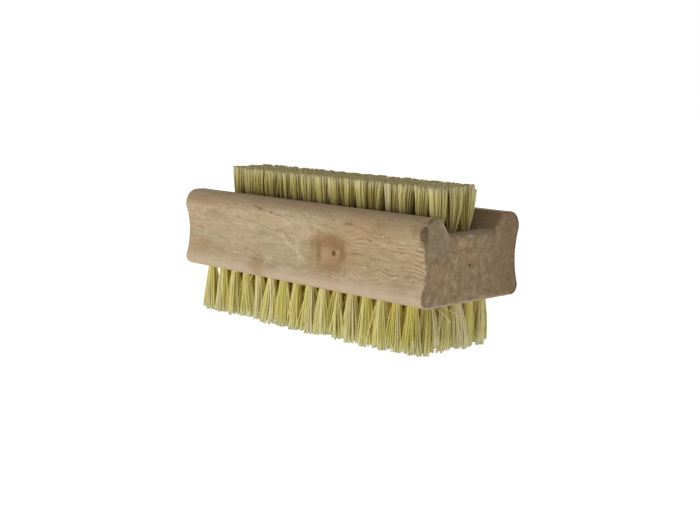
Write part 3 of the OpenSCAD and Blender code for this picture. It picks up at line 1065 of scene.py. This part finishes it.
for title, rows, look, material, slot in (
    ("lower", lower_centres, LOWER_LOOK, lower_fibre, "lower_fibre"),
    ("upper", upper_centres, UPPER_LOOK, upper_fibre, "upper_fibre"),
):
    for r, centres in enumerate(rows):
        rng = np.random.default_rng(look["seed"] + 10 * r)
        loose = LOOSE_FIBRES.get((title, r + 1))
        paths = row_paths(centres, r, len(rows), look, rng, loose)
        piece = fibre_row(f"{title}_fibres_row_{r + 1}", paths, look, rng)
        piece.data.materials.append(material)
        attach(piece, "root")
        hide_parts(f"{title}_bristles_row_{r + 1}")
        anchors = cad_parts[f"{title}_anchors_row_{r + 1}"]
        anchors.data.materials.clear()
        anchors.data.materials.append(brass)


# Studio, in metres: floor, world, lamps and camera

FLOOR_SIZE = 3.0
FLOOR_DROP = 0.00002
FLOOR_SHOWN_WHITE = 0.80
FLOOR_WHITE_STRENGTH = 1.16
FLOOR_BOUNCE = 0.52
WORLD_LIGHT = 0.38
LAMP_COLOUR = (1.0, 0.985, 0.955)
# Lamps: name, place, aim, size and power.
LAMPS = (
    ("key_softbox", (-0.20, -0.62, 0.12), (0, 0, 0.022), (0.50, 0.18), 1.28),
    ("front_fill", (0.30, -0.50, 0.05), (0, 0, 0.018), (0.30, 0.09), 0.27),
    ("back_fill", (-0.22, 0.60, 0.16), (0, 0, 0.022), (0.50, 0.20), 0.62),
)


def seen_directly(tree):
    """1 for camera, mirror and glass rays, else 0."""
    rays = tree.nodes.new("ShaderNodeLightPath")
    seen = rays.outputs["Is Camera Ray"]
    for name in ("Is Glossy Ray", "Is Transmission Ray"):
        most = tree.nodes.new("ShaderNodeMath")
        most.operation = "MAXIMUM"
        tree.links.new(seen, most.inputs[0])
        tree.links.new(rays.outputs[name], most.inputs[1])
        seen = most.outputs[0]
    return seen


def floor_material():
    """Pale and lit like any surface, but shown nearly white, with the shadow still on it."""
    material = bpy.data.materials.new("floor_white")
    material.use_nodes = True
    tree = material.node_tree
    lit = tree.nodes["Principled BSDF"]
    for key, value in (
        ("Base Color", (0.86, 0.86, 0.86, 1)),
        ("Roughness", 0.9),
        ("Emission Color", (1, 1, 1, 1)),
        ("Emission Strength", FLOOR_BOUNCE),
        ("Specular IOR Level", 0.1),
    ):
        lit.inputs[key].default_value = value
    glow = tree.nodes.new("ShaderNodeEmission")
    glow.inputs["Strength"].default_value = FLOOR_WHITE_STRENGTH
    share = tree.nodes.new("ShaderNodeMath")
    share.operation = "MULTIPLY"
    share.inputs[1].default_value = FLOOR_SHOWN_WHITE
    tree.links.new(seen_directly(tree), share.inputs[0])
    blend = tree.nodes.new("ShaderNodeMixShader")
    tree.links.new(share.outputs[0], blend.inputs[0])
    tree.links.new(lit.outputs[0], blend.inputs[1])
    tree.links.new(glow.outputs[0], blend.inputs[2])
    tree.links.new(blend.outputs[0], tree.nodes["Material Output"].inputs["Surface"])
    return material


def white_floor():
    grid = bmesh.new()
    bmesh.ops.create_grid(grid, x_segments=8, y_segments=8, size=FLOOR_SIZE / 2)
    data = bpy.data.meshes.new("floor")
    grid.to_mesh(data)
    grid.free()
    data.materials.append(floor_material())
    made = placed("floor", data)
    made.location.z = -FLOOR_DROP
    return made


def studio_world():
    """An even light, seen as white."""
    world = bpy.data.worlds.new("studio")
    world.use_nodes = True
    tree = world.node_tree
    background = tree.nodes["Background"]
    background.inputs["Color"].default_value = (1, 1, 1, 1)
    level = tree.nodes.new("ShaderNodeMapRange")
    level.inputs["To Min"].default_value = WORLD_LIGHT
    level.inputs["To Max"].default_value = 1.0
    tree.links.new(seen_directly(tree), level.inputs["Value"])
    tree.links.new(level.outputs[0], background.inputs["Strength"])
    return world


def lamp(name, place, aim, size, power):
    data = bpy.data.lights.new(name, "AREA")
    data.shape = "RECTANGLE"
    data.size, data.size_y = size
    data.energy = power
    data.color = LAMP_COLOUR
    made = placed(name, data)
    made.location = Vector(place)
    made.rotation_euler = (Vector(aim) - Vector(place)).to_track_quat("-Z", "Y").to_euler()


def photo_camera():
    """The camera at the photo's viewing angle."""
    azimuth, elevation, roll = (
        math.radians(a) for a in (CAMERA_AZIMUTH, CAMERA_ELEVATION, CAMERA_ROLL))
    back = Vector((
        math.sin(azimuth) * math.cos(elevation), -math.cos(azimuth) * math.cos(elevation),
        math.sin(elevation)))
    level_right = Vector((math.cos(azimuth), math.sin(azimuth), 0))
    level_up = back.cross(level_right)
    right = level_right * math.cos(roll) + level_up * math.sin(roll)
    up = level_up * math.cos(roll) - level_right * math.sin(roll)
    data = bpy.data.cameras.new("camera")
    data.sensor_fit = "HORIZONTAL"
    data.sensor_width = CAMERA_SENSOR
    data.lens = CAMERA_LENS
    data.clip_start = CAMERA_CLIP * MM
    made = placed("camera", data)
    turn = Matrix((right, up, back)).transposed().to_4x4()
    made.matrix_world = Matrix.Translation(Vector(CAMERA_PLACE) * MM) @ turn
    return made


floor = white_floor()
bpy.context.scene.world = studio_world()
for settings in LAMPS:
    lamp(*settings)
bpy.context.scene.camera = photo_camera()
bpy.context.scene.view_settings.view_transform = "Standard"
